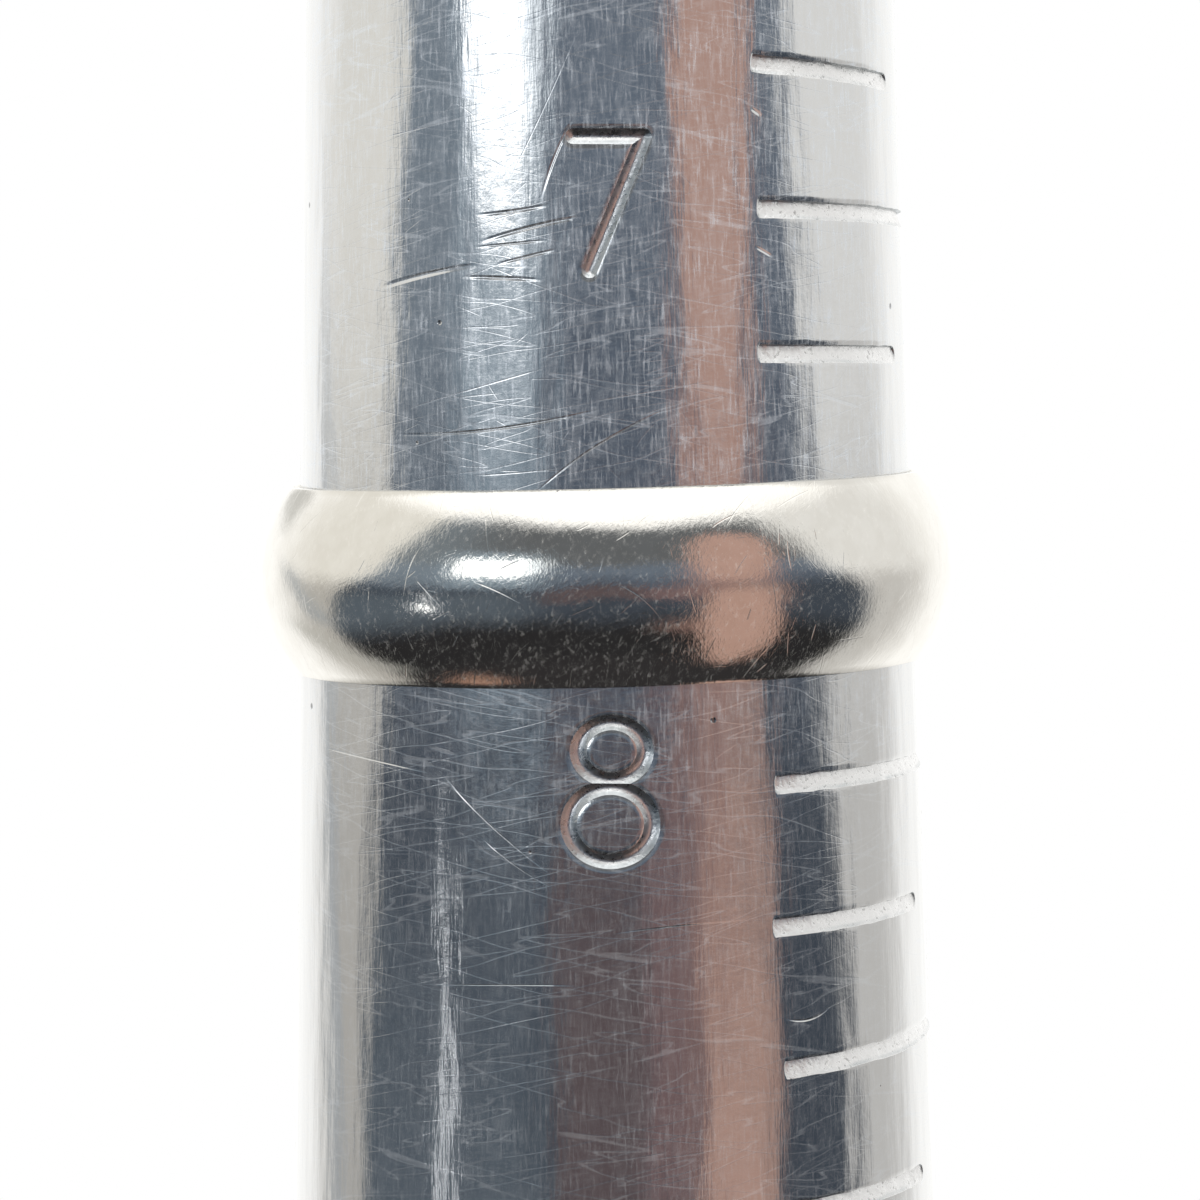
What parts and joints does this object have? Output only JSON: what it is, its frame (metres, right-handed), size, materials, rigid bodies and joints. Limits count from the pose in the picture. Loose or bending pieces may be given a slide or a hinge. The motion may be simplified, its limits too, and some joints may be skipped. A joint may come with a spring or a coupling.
{
  "type": "ring mandrel",
  "caption": "Polished tapered steel ring mandrel with ring-size numerals and graduation lines, a turned wooden handle with a ferrule, and a plain half-round band seated on it.",
  "frame": {"origin": "centre of the handle's flat butt face", "axes": "+Z along the shaft towards its small end; -Y is the side the numerals are read from; +X is the side the graduation lines are cut on"},
  "size_m": [0.0312, 0.0312, 0.3401],
  "materials": {
    "steel": "polished lengthwise, finely scratched, marks cut bright",
    "plated_metal": "nickel plated, softly polished",
    "pin_brass": "filed flush",
    "hardwood": "oiled, close grained",
    "washer_steel": "zinc plated",
    "nut_steel": "zinc plated",
    "silver": "polished silver, lightly worn"
  },
  "bodies": {
    "mandrel": {"tapered_shaft": "steel", "ferrule": "plated_metal", "ferrule_pin": "pin_brass", "handle": "hardwood", "butt_washer": "washer_steel", "tang_nut": "nut_steel"},
    "ring": {"ring_band": "silver"}
  },
  "joints": [
    {"name": "ring_slide", "type": "slide", "parent": "mandrel", "child": "ring", "axis": [0, 0, 1], "range_m": [0, 0.12]}
  ]
}
